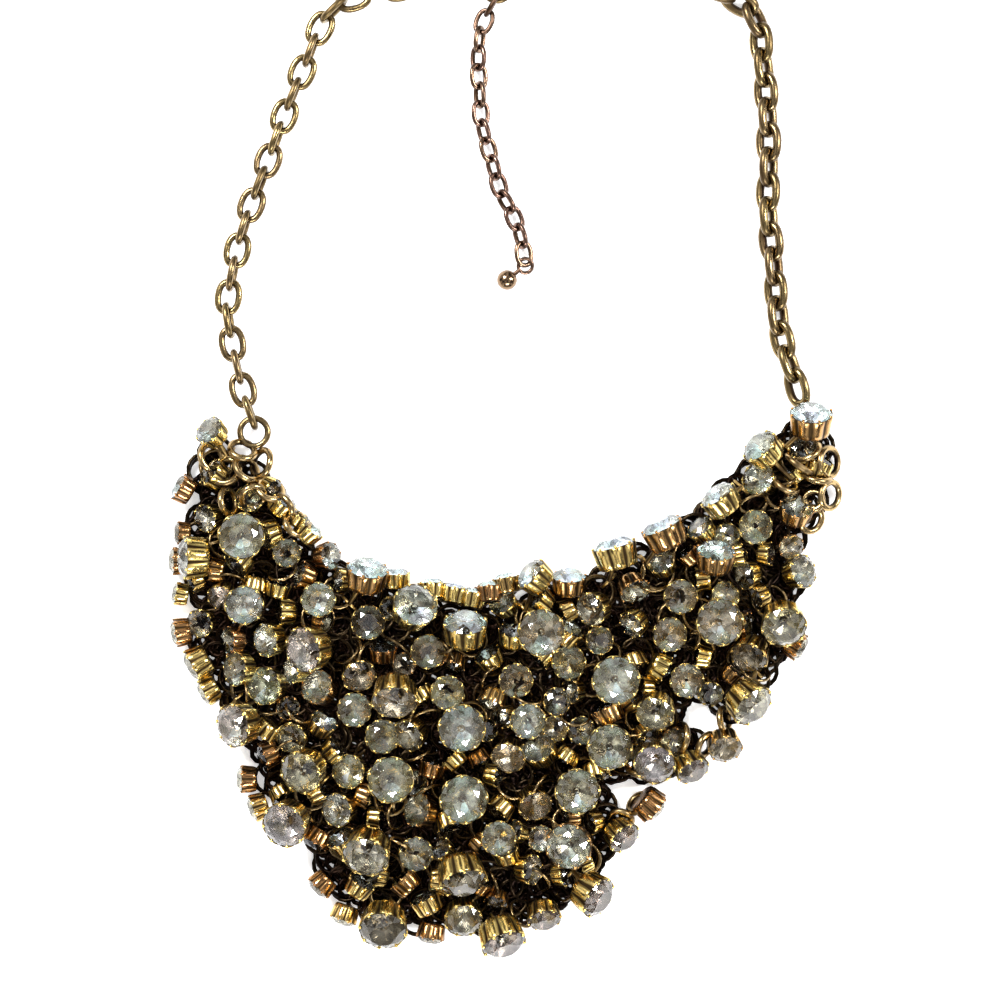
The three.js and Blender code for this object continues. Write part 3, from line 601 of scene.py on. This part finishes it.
random.seed(11)
bails = []
for number, (_, _, size, turn, tilt, kind, copper) in enumerate(loose_rows, 1):
    name = f"stone_{number:02d}"
    points = np.array([v.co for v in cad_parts[name].data.vertices]) * METRE
    out = facing(turn, tilt)
    middle = middle_of_cup(points, out, size)
    heart, aside = place_of_bail(points)
    bails.append((heart, aside))
    spin = random.uniform(0, math.pi)
    cup, gem = Heap(), Heap()
    cup.add(CUP, turn_to(out, spin), size / 2, middle, copper)
    bar = np.array((-aside[1], aside[0], 0.0))
    cup.add(torus(BAIL_RADIUS, BAIL_WIRE, 16, 6), turn_to(bar), 1.0, (*heart, BAIL_HEIGHT), 0.5)
    foot = np.array((*heart, STEM_FOOT))
    rise = middle - foot
    stem = post(STEM_WIDTH, np.linalg.norm(rise), wear=STEM_WEAR)
    cup.add(stem, turn_to(rise), 1.0, foot, 0.5)
    gem.add(GEM, turn_to(out, spin), size / 2, middle, 0, TINTS[kind])
    dress(cup.build(f"{name}_cup", [cup_metal]), name)
    dress(gem.build(f"{name}_glass", STONE, smooth=False), name)
print("loose stones", len(bails))

# %% [markdown]
# The smaller stones of the net lie on the table under the others. Each is lowered until its lowest point
# is just above the table. The gaps between them are filled with more small stones at seeded random
# places. A place that is too near its neighbours is given up and another one tried.

# %% Stones of the net
TABLE_GAP = 0.05
FILLERS, MOST_TRIES = 80, 9000
FILLER_TILTS = (20, 50, 65, 75, 85, 95)
FILLER_COPPER = (0, 0.1, 0.3, 0.8)
FILLER_TINTS = ("grey", "khaki", "tan", "grey", "aqua")
cups, small_cups, gems = Heap(), Heap(), Heap()


def lay_down(heap, x, y, size, matrix, copper, kind):
    lowest = ((CUP[0] * size / 2) @ matrix.T)[:, 2].min()
    place = (x, y, TABLE_GAP - lowest)
    heap.add(CUP, matrix, size / 2, place, copper)
    gems.add(GEM, matrix, size / 2, place, 0, TINTS[kind])


def anywhere():
    return random.uniform(-66, 66), random.uniform(-98, 8)


def on_a_stone(x, y, size):
    return any(math.hypot(x - tx, y - ty) < share * (tr + size / 2) for tx, ty, tr, share in taken)


for x, y, size, turn, tilt, kind, copper in set_rows:
    matrix = turn_to(facing(turn, tilt), random.uniform(0, math.pi))
    lay_down(cups, x, y, size, matrix, copper, kind)

# Each row: x, y, radius, and how far off a small stone has to stay, as a share of both radii.
taken = [(x, y, size / 2, 0.62) for x, y, size, *_ in loose_rows]
taken += [(x, y, size / 2, 0.8) for x, y, size, *_ in set_rows]
fillers = tries = 0
while fillers < FILLERS:
    x, y = anywhere()
    size = random.uniform(5.0, 6.8)
    if not clear_of_edge(x, y, size * 0.55) or in_gap(x, y, size / 2):
        continue
    tries += 1
    if tries > MOST_TRIES:
        break
    if on_a_stone(x, y, size):
        continue
    way = facing(random.uniform(0, 360), random.choice(FILLER_TILTS))
    matrix = turn_to(way, random.uniform(0, math.pi))
    copper = random.choice(FILLER_COPPER)
    lay_down(small_cups, x, y, size, matrix, copper, random.choice(FILLER_TINTS))
    taken.append((x, y, size / 2, 0.8))
    fillers += 1
dress(cups.build("net_cups", [cup_metal]), "stone_net")
dress(small_cups.build("net_small_cups", [cup_metal]), "stone_net")
dress(gems.build("net_glass", STONE, smooth=False), "stone_net")
print("net stones", len(set_rows), "smallest stones", fillers)

# %% [markdown]
# The net is a heap of jump rings, coloured nearly black as painted shade for the shadow under the stones.
# Two low layers of small rings make it dark with the same painted shade, and four layers of wide rings lie
# over them. Rings on a loose grid fill the bib evenly, and small random shifts keep the grid from showing.
# The two upper layers leave out rings that would cross a stone.

# %% Dark rings of the net
RING_RADIUS, RING_WIRE = 3.2, 0.95
GRID_MIDDLE = -44
LOW_LAYERS, LOW_HEIGHT, LOW_STEP = 2, 0.85, 0.55
SMALL_ACROSS, SMALL_DOWN, SMALL_SHIFT = 2.9, 2.7, 0.3
WIDE_ACROSS, WIDE_DOWN, WIDE_SHIFT = 4.6, 4.1, 1.1
# Each row: height of a wide layer, and its share of the nearly black colour, which is painted shade.
WIDE_LAYERS = ((0.3, 1.0), (0.7, 1.0), (1.0, 0.97), (1.2, 0.92))
wide_ring = torus(RING_RADIUS, RING_WIRE, 16, 5)
small_ring = torus(1.9, 1.3, 10, 4)
nets = {"ring_net_shade_layers": Heap(), "ring_net_wide": Heap(), "ring_net_brass": Heap()}


def grid(across, down):
    return [(i, j) for i in range(-across, across + 1) for j in range(-down, down + 1)]


def shifted(most):
    return random.uniform(-most, most)


def rim_on_a_stone(x, y):
    return any(abs(math.hypot(x - tx, y - ty) - RING_RADIUS) < tr for tx, ty, tr, _ in taken)


for layer in range(LOW_LAYERS):
    for i, j in grid(25, 20):
        x = (i + 0.5 * (j % 2) + 0.25 * layer) * SMALL_ACROSS + shifted(SMALL_SHIFT)
        y = (j + 0.5 * layer) * SMALL_DOWN + GRID_MIDDLE + shifted(SMALL_SHIFT)
        if clear_of_edge(x, y, 3.0) and not in_gap(x, y, 2.4):
            way = turn_to(facing(random.uniform(0, 360), 5))
            place = (x, y, LOW_HEIGHT + LOW_STEP * layer)
            # Painted shade: each low ring takes the nearly black colour in full.
            nets["ring_net_shade_layers"].add(small_ring, way, 1.0, place, 1.0)
for layer, (height, shade_share) in enumerate(WIDE_LAYERS):
    for i, j in grid(18, 16):
        x = (i + 0.5 * (j % 2)) * WIDE_ACROSS + shifted(WIDE_SHIFT) + 0.4 * layer
        y = j * WIDE_DOWN + GRID_MIDDLE + shifted(WIDE_SHIFT) + 0.7 * layer
        if not clear_of_edge(x, y, 2.8) or in_gap(x, y, RING_RADIUS):
            continue
        if layer > 1 and rim_on_a_stone(x, y):
            continue
        tilt = random.uniform(2, 12)
        rise = RING_RADIUS * math.sin(math.radians(tilt)) + RING_WIRE / 2
        # Painted shade: the ring's share of the nearly black colour.
        copper = shade_share * random.uniform(0.95, 1.0)
        way = turn_to(facing(random.uniform(0, 360), tilt))
        nets["ring_net_wide"].add(wide_ring, way, 1.0, (x, y, rise + height), copper)
print("dark rings laid")

# %% [markdown]
# Brass rings stand up between the stones. Thicker ones are placed where the photo shows them, in a
# cluster at each upper corner and a few round the gaps. A plain ring lies beside the bail of each loose
# stone that has room for one inside the edge. Tilted rings are high enough to be clear of the table.

# %% Brass rings of the net
BRASS_RADIUS, CORNER_WIRE, CORNER_SHARE = 2.9, 1.4, 0.92
STANDING_RINGS = 45
brass_ring = torus(BRASS_RADIUS, 0.65, 20, 6)
brass = nets["ring_net_brass"]

# Each row: across, down, height, turn, tilt, radius. CORNER_SHARE of the radius is the wire's middle.
CORNER_RINGS = """
  8.1  12.0  4.2  100  30  3.0 |  11.2  11.6  4.6   40  55  2.9 |  13.4  10.6  4.2  160  50  3.0
 10.6   8.2  4.0   70  50  2.7 |   6.0   9.5  3.6   20  45  2.9 |  14.6  15.4  3.8   60  50  2.9
 16.6  18.6  4.0  210  50  2.7 |  12.2  16.6  4.6  300  40  2.6 |  18.4  21.8  3.6   40  50  2.6
  8.6  17.6  5.0   10  60  2.8 |  97.0  10.4  3.4    0  45  3.1 |  97.2  16.4  3.2  350  42  2.9
 94.7  17.4  3.4  130  25  2.1 |  92.6  10.6  4.4   55  76  3.2 |  94.4  20.8  3.4  330  30  2.7
 90.6  14.4  4.8   60  62  2.7 |  93.8   8.4  3.6  120  60  2.8 |  95.2  13.0  3.6   80  70  2.8
 78.9  61.9  2.2  330  55  2.6 |  81.6  57.4  2.6   10  65  2.5 |  68.9  72.6  2.4  135  62  2.5
 66.4  75.6  2.2  250  40  2.4 |  69.0  66.2  2.6   80  60  2.5 |  75.2  60.6  3.0  170  68  2.9
"""
for row in rows_of(CORNER_RINGS):
    across, down, high, turn, tilt, radius = map(float, row)
    high = max(high, radius * math.sin(math.radians(tilt)) + 0.7)
    ring = torus(radius * CORNER_SHARE, CORNER_WIRE, 24, 8)
    place = (*here(across, down), high)
    # Painted shade: corner rings are darkened towards black by up to 0.4.
    brass.add(ring, turn_to(facing(turn, tilt)), 1.0, place, random.uniform(0.0, 0.4))
standing = 0
while standing < STANDING_RINGS:
    x, y = anywhere()
    if not clear_of_edge(x, y, 3.6) or in_gap(x, y, 3.2):
        continue
    if any(math.hypot(x - tx, y - ty) < 0.9 * tr for tx, ty, tr, _ in taken):
        continue
    tilt = random.uniform(45, 75)
    high = BRASS_RADIUS * math.sin(math.radians(tilt)) + 0.8
    way = turn_to(facing(random.uniform(0, 360), tilt))
    # Painted shade: standing rings are darkened towards black by 0.3 to 0.8.
    brass.add(brass_ring, way, 1.0, (x, y, high), random.uniform(0.3, 0.8))
    standing += 1
for heart, aside in bails:
    sides = [heart + aside * RING_RADIUS, heart - aside * RING_RADIUS]
    x, y = sides[0] if clear_of_edge(*sides[0], 3.6) else sides[1]
    if clear_of_edge(x, y, 2.8):
        # Painted shade: these rings are darkened towards black by half or more.
        brass.add(wide_ring, turn_to((0.1, 0.1, 1)), 1.0, (x, y, 2.5), random.uniform(0.5, 1.0))
for name, heap in nets.items():
    dress(heap.build(name, [net_metal]), "stone_net")
print("net", {name: triangles[name] for name in nets})

# %% [markdown]
# The side chains have oval links, each turned about a quarter from the one before. They follow the same
# ways as the solid chains, as a smooth curve cut in equal steps, with one link for each step. Both chains
# and the extension use one function with their own sizes.

# %% Chains
UP = np.array((0.0, 0, 1))
CURVE_STEPS = 24
SETTLING_LINKS = 4
LINK_PLAY = 0.05


def curve_points(way, count):
    way = [np.array(p, float) for p in way]
    ends = [2 * way[0] - way[1]] + way + [2 * way[-1] - way[-2]]
    fine = []
    for p0, p1, p2, p3 in zip(ends, ends[1:], ends[2:], ends[3:]):
        for t in np.linspace(0, 1, CURVE_STEPS, endpoint=False):
            fine.append(0.5 * (2 * p1 + (p2 - p0) * t + (2 * p0 - 5 * p1 + 4 * p2 - p3) * t * t
                               + (3 * p1 - p0 - 3 * p2 + p3) * t ** 3))
    fine = np.array(fine + [way[-1]])
    run = np.concatenate(([0], np.cumsum(np.linalg.norm(np.diff(fine, axis=0), axis=1))))
    at = np.linspace(0, run[-1], count + 1)
    return np.stack([np.interp(at, run, fine[:, k]) for k in range(3)], axis=1)


def lay_chain(name, node, way, count, width, wire, last_roll, copper):
    heap = Heap()
    meets = curve_points(way, count)
    for i in range(count):
        along = meets[i + 1] - meets[i]
        span = np.linalg.norm(along)
        along /= span
        side = np.cross(UP, along)
        side /= np.linalg.norm(side)
        rise = np.cross(along, side)
        roll = math.pi / 2 * (i + 1) + last_roll * min(1, i / SETTLING_LINKS) + random.uniform(-0.1, 0.1)
        across = side * math.cos(roll) + rise * math.sin(roll)
        matrix = np.stack((along, across, np.cross(along, across)), axis=1)
        oval = link((span + wire) / 2 - LINK_PLAY, (width - wire) / 2, wire)
        middle = (meets[i] + meets[i + 1]) / 2
        heap.add(oval, matrix, 1.0, middle, min(1, max(0, copper + random.uniform(-0.2, 0.2))))
    dress(heap.build(name, [chain_metal]), node)


def at_height(spots, z, first_points=0, first_z=0.0):
    heights = [first_z if i < first_points else z for i in range(len(spots))]
    return [(x + SHIFT_X, y + SHIFT_Y, high) for (x, y), high in zip(spots, heights)]


LEFT = [(-51.4, -3.7), (-53.2, 1.6), (-54.6, 7.0), (-56.2, 15.0), (-56.8, 19.8), (-55.2, 29.0),
        (-53.8, 34.8), (-52.2, 39.4), (-48.4, 49.4), (-44.8, 59.4), (-41.0, 68.6), (-37.4, 77.2),
        (-32.8, 81.4), (-19.8, 84.2)]
RIGHT = [(-0.5, 84.2), (10.0, 85.4), (22.0, 85.8), (34.0, 85.0), (43.0, 82.6), (49.4, 78.4), (50.6, 70.8),
         (51.6, 60.8), (52.0, 49.6), (51.8, 38.8), (53.0, 28.4), (53.8, 17.8), (54.8, 12.4), (56.4, 7.6),
         (58.0, 3.2), (58.3, 1.2)]
TAIL = [(-2.6, 82.0), (-5.0, 78.0), (-6.0, 74.8), (-6.4, 69.6), (-6.0, 61.2), (-5.8, 57.0), (-4.8, 53.2),
        (-2.6, 45.4), (-1.4, 41.6), (0.6, 38.6), (1.8, 35.0), (2.8, 31.2), (3.0, 28.6)]
lay_chain("left_links", "chain_left", at_height(LEFT, 2.9), count=22, width=5.6, wire=1.4,
          last_roll=0, copper=0.1)
lay_chain("right_links", "chain_right", at_height(RIGHT, 2.6, 3, 2.9), count=26, width=5.8, wire=1.8,
          last_roll=math.pi / 4.6, copper=0.1)
lay_chain("extension_links", "extension_chain", at_height(TAIL, 2.05, 1, 2.7), count=15, width=4.2,
          wire=1.0, last_roll=math.pi / 3.1, copper=0.85)
print("chains", {name: triangles[name] for name in ("left_links", "right_links", "extension_links")})

# %% [markdown]
# Two plain rings join the chains to the rest, and they lie exactly where their solids lie.

# %% Joining rings
for node, radius, wire in (("jump_ring_left", 2.8, 1.3), ("extension_ring", 3.1, 1.0)):
    low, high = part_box(node)
    middle = [(a + b) / 2 * METRE for a, b in zip(low, high)]
    heap = Heap()
    heap.add(torus(radius, wire, 32, 10), turn_to((0, 0, 1)), 1.0, middle, 0.1)
    dress(heap.build(f"{node}_smooth", [chain_metal]), node)
print("joining rings", triangles["jump_ring_left_smooth"], triangles["extension_ring_smooth"])

# %% [markdown]
# The extension ends in a plain ball that hangs on a flat eye. The ball is a turned half circle, the eye a
# small ring, and a short post joins them, so the three look like one cast piece.

# %% Ball on its eye
BALL = (-0.6 + SHIFT_X, 25.2 + SHIFT_Y, 2.2)
BALL_RADIUS = 2.05
BALL_EYE = (4.28, 39.12, 2.05)
heap = Heap()
heap.add(ball(32, 20), turn_to((0.3, 0.2, 1)), BALL_RADIUS, BALL, 0.6)
heap.add(torus(1.45, 0.8, 24, 8), turn_to((0.12, -0.16, 0.97)), 1.0, BALL_EYE, 0.9)
stub = moved(post(0.9, 1.4), turn_to((0.77, 0.63, 0)))
heap.add(stub, UPRIGHT, 1.0, (BALL[0] + 1.5, BALL[1] + 1.2, 2.1), 0.9)
dress(heap.build("ball_smooth", [chain_metal]), "end_ball")
print("ball", triangles["ball_smooth"])

# %% [markdown]
# The clasp is out of the photo's view, so a plain rounded box with ridges and an upright eye at each end is
# made, as on many such necklaces. A loft through rounded sections gives soft edges that a box wouldn't
# have, and narrower sections between wide ones give the ridges and the two grooves.

# %% Clasp
CLASP = (-12.11, 95.28, 2.6)
EYE_HEIGHT = 2.8
CLASP_EYES = ((-18.0, 1), (-4.65, -1))
CORNER_POWER = 0.32
# Each row: along, half width, half height, how bright the metal is, from the end towards the ridges.
HALF_BOX = [(4.2, 1.75, 2.05, 0.6), (4.1, 2.1, 2.4, 0.9), (3.8, 2.28, 2.58, 0.7), (2.7, 2.3, 2.6, 0.7),
            (2.6, 2.12, 2.42, 0.0), (2.3, 2.12, 2.42, 0.0), (2.2, 2.3, 2.6, 0.9)]
CREST, DIP = (2.3, 2.6, 0.9), (2.16, 2.46, 0.1)


def squared(value):
    return math.copysign(abs(value) ** CORNER_POWER, value)


def loft(sections, sides=40):
    points, faces = [], [list(range(sides))[::-1]]
    for along, wide, high, _ in sections:
        for i in range(sides):
            a = 2 * math.pi * i / sides
            points.append((along, wide * squared(math.cos(a)), high * squared(math.sin(a))))
    for j in range(len(sections) - 1):
        for i in range(sides):
            n = (i + 1) % sides
            faces.append([j * sides + i, j * sides + n, (j + 1) * sides + n, (j + 1) * sides + i])
    faces.append([len(points) - sides + i for i in range(sides)])
    return np.array(points), faces, [0] * len(faces), np.repeat([wear for *_, wear in sections], sides)


ridges = [(0.3 * k, *(CREST if k % 2 == 0 else DIP)) for k in range(-6, 7)]
sections = [(-x, *rest) for x, *rest in HALF_BOX] + ridges + HALF_BOX[::-1]
heap = Heap()
heap.add(loft(sections), UPRIGHT, 1.0, CLASP, 0.1)
for across, way in CLASP_EYES:
    heap.add(torus(1.43, 0.78, 24, 8), turn_to((0.05, 1, 0)), 1.0, (across, CLASP[1], EYE_HEIGHT), 0.1)
    stub = moved(post(1.2, 2.0, 10), turn_to((way, 0, 0)))
    heap.add(stub, UPRIGHT, 1.0, (across + 1.3 * way, CLASP[1], EYE_HEIGHT), 0.1)
dress(heap.build("clasp_box", [chain_metal]), "clasp")
print("clasp", triangles["clasp_box"], "of all", sum(triangles.values()))

# %% [markdown]
# The photo has a white ground and soft light, so the floor is plain and pale, and two soft lamps and a
# lower one in front shine on the piece.

# %% Floor and lamps
FLOOR_HALF, FLOOR_DROP = 2, 0.0001
# Each row: name, place, size, power.
LAMPS = [
    ("key", (-0.45, 0.5, 0.8), (0.3, 0.3), 18),
    ("fill", (0.65, 0.15, 0.6), (0.15, 0.4), 9),
    ("front", (0.1, -0.75, 0.55), (0.5, 0.12), 8),
]
LAMP_AIM = (0, -0.008, 0)
corners = [(-1, -1), (1, -1), (1, 1), (-1, 1)]
floor_mesh = bpy.data.meshes.new("floor")
floor_mesh.from_pydata([(x * FLOOR_HALF, y * FLOOR_HALF, 0) for x, y in corners], [], [(0, 1, 2, 3)])
floor = bpy.data.objects.new("floor", floor_mesh)
bpy.context.scene.collection.objects.link(floor)
floor.location.z = -FLOOR_DROP
white = Shade("floor_white", Base_Color=(0.9, 0.9, 0.9), Roughness=0.9)
white.set(Emission_Color=(1.0, 1.0, 1.0), Emission_Strength=0.45)
floor_mesh.materials.append(white.material)
for name, place, size, power in LAMPS:
    data = bpy.data.lights.new(name, "AREA")
    data.shape, data.size, data.size_y, data.energy = "RECTANGLE", size[0], size[1], power
    lamp = bpy.data.objects.new(name, data)
    bpy.context.scene.collection.objects.link(lamp)
    lamp.location = place
    lamp.rotation_mode = "QUATERNION"
    turned = turn_to(np.array(place) - np.array(LAMP_AIM))
    lamp.rotation_quaternion = Matrix(turned.tolist()).to_quaternion()
print("lamps", len(LAMPS))

# %% [markdown]
# Polished metal shows what is round it, so the sky has soft bright panels for the cups and facets to
# reflect. They come from two sines of the direction in the world. The camera looks straight down through
# a long lens, since the photo seems to be taken from right above.

# %% Sky and camera
PANELS_ACROSS, PANELS_DOWN = 9.0, 8.0
LENS, CAMERA_PLACE = 108, (-0.0008, -0.00795, 0.605)
scene = bpy.context.scene
world = bpy.data.worlds.new("world")
world.use_nodes = True
scene.world = world
sky = Tree(world.node_tree)
background = world.node_tree.nodes["Background"]
direction = sky.node("ShaderNodeTexCoord", {}, {}, "Generated")
east = sky.node("ShaderNodeSeparateXYZ", {}, {0: direction}, "X")
north = sky.node("ShaderNodeSeparateXYZ", {}, {0: direction}, "Y")
panels = sky.sine(east * PANELS_ACROSS + 0.9) * sky.sine(north * PANELS_DOWN + 1.2)
sky.plug(background.inputs["Strength"], (panels * 4.0).clamp() * 1.45 + 0.06)
sky.plug(background.inputs["Color"], (0.97, 0.98, 1.0))
scene.view_settings.view_transform = "Standard"
camera_data = bpy.data.cameras.new("camera")
camera_data.lens = LENS
camera = bpy.data.objects.new("camera", camera_data)
scene.collection.objects.link(camera)
camera.location = CAMERA_PLACE
bpy.context.scene.camera = camera
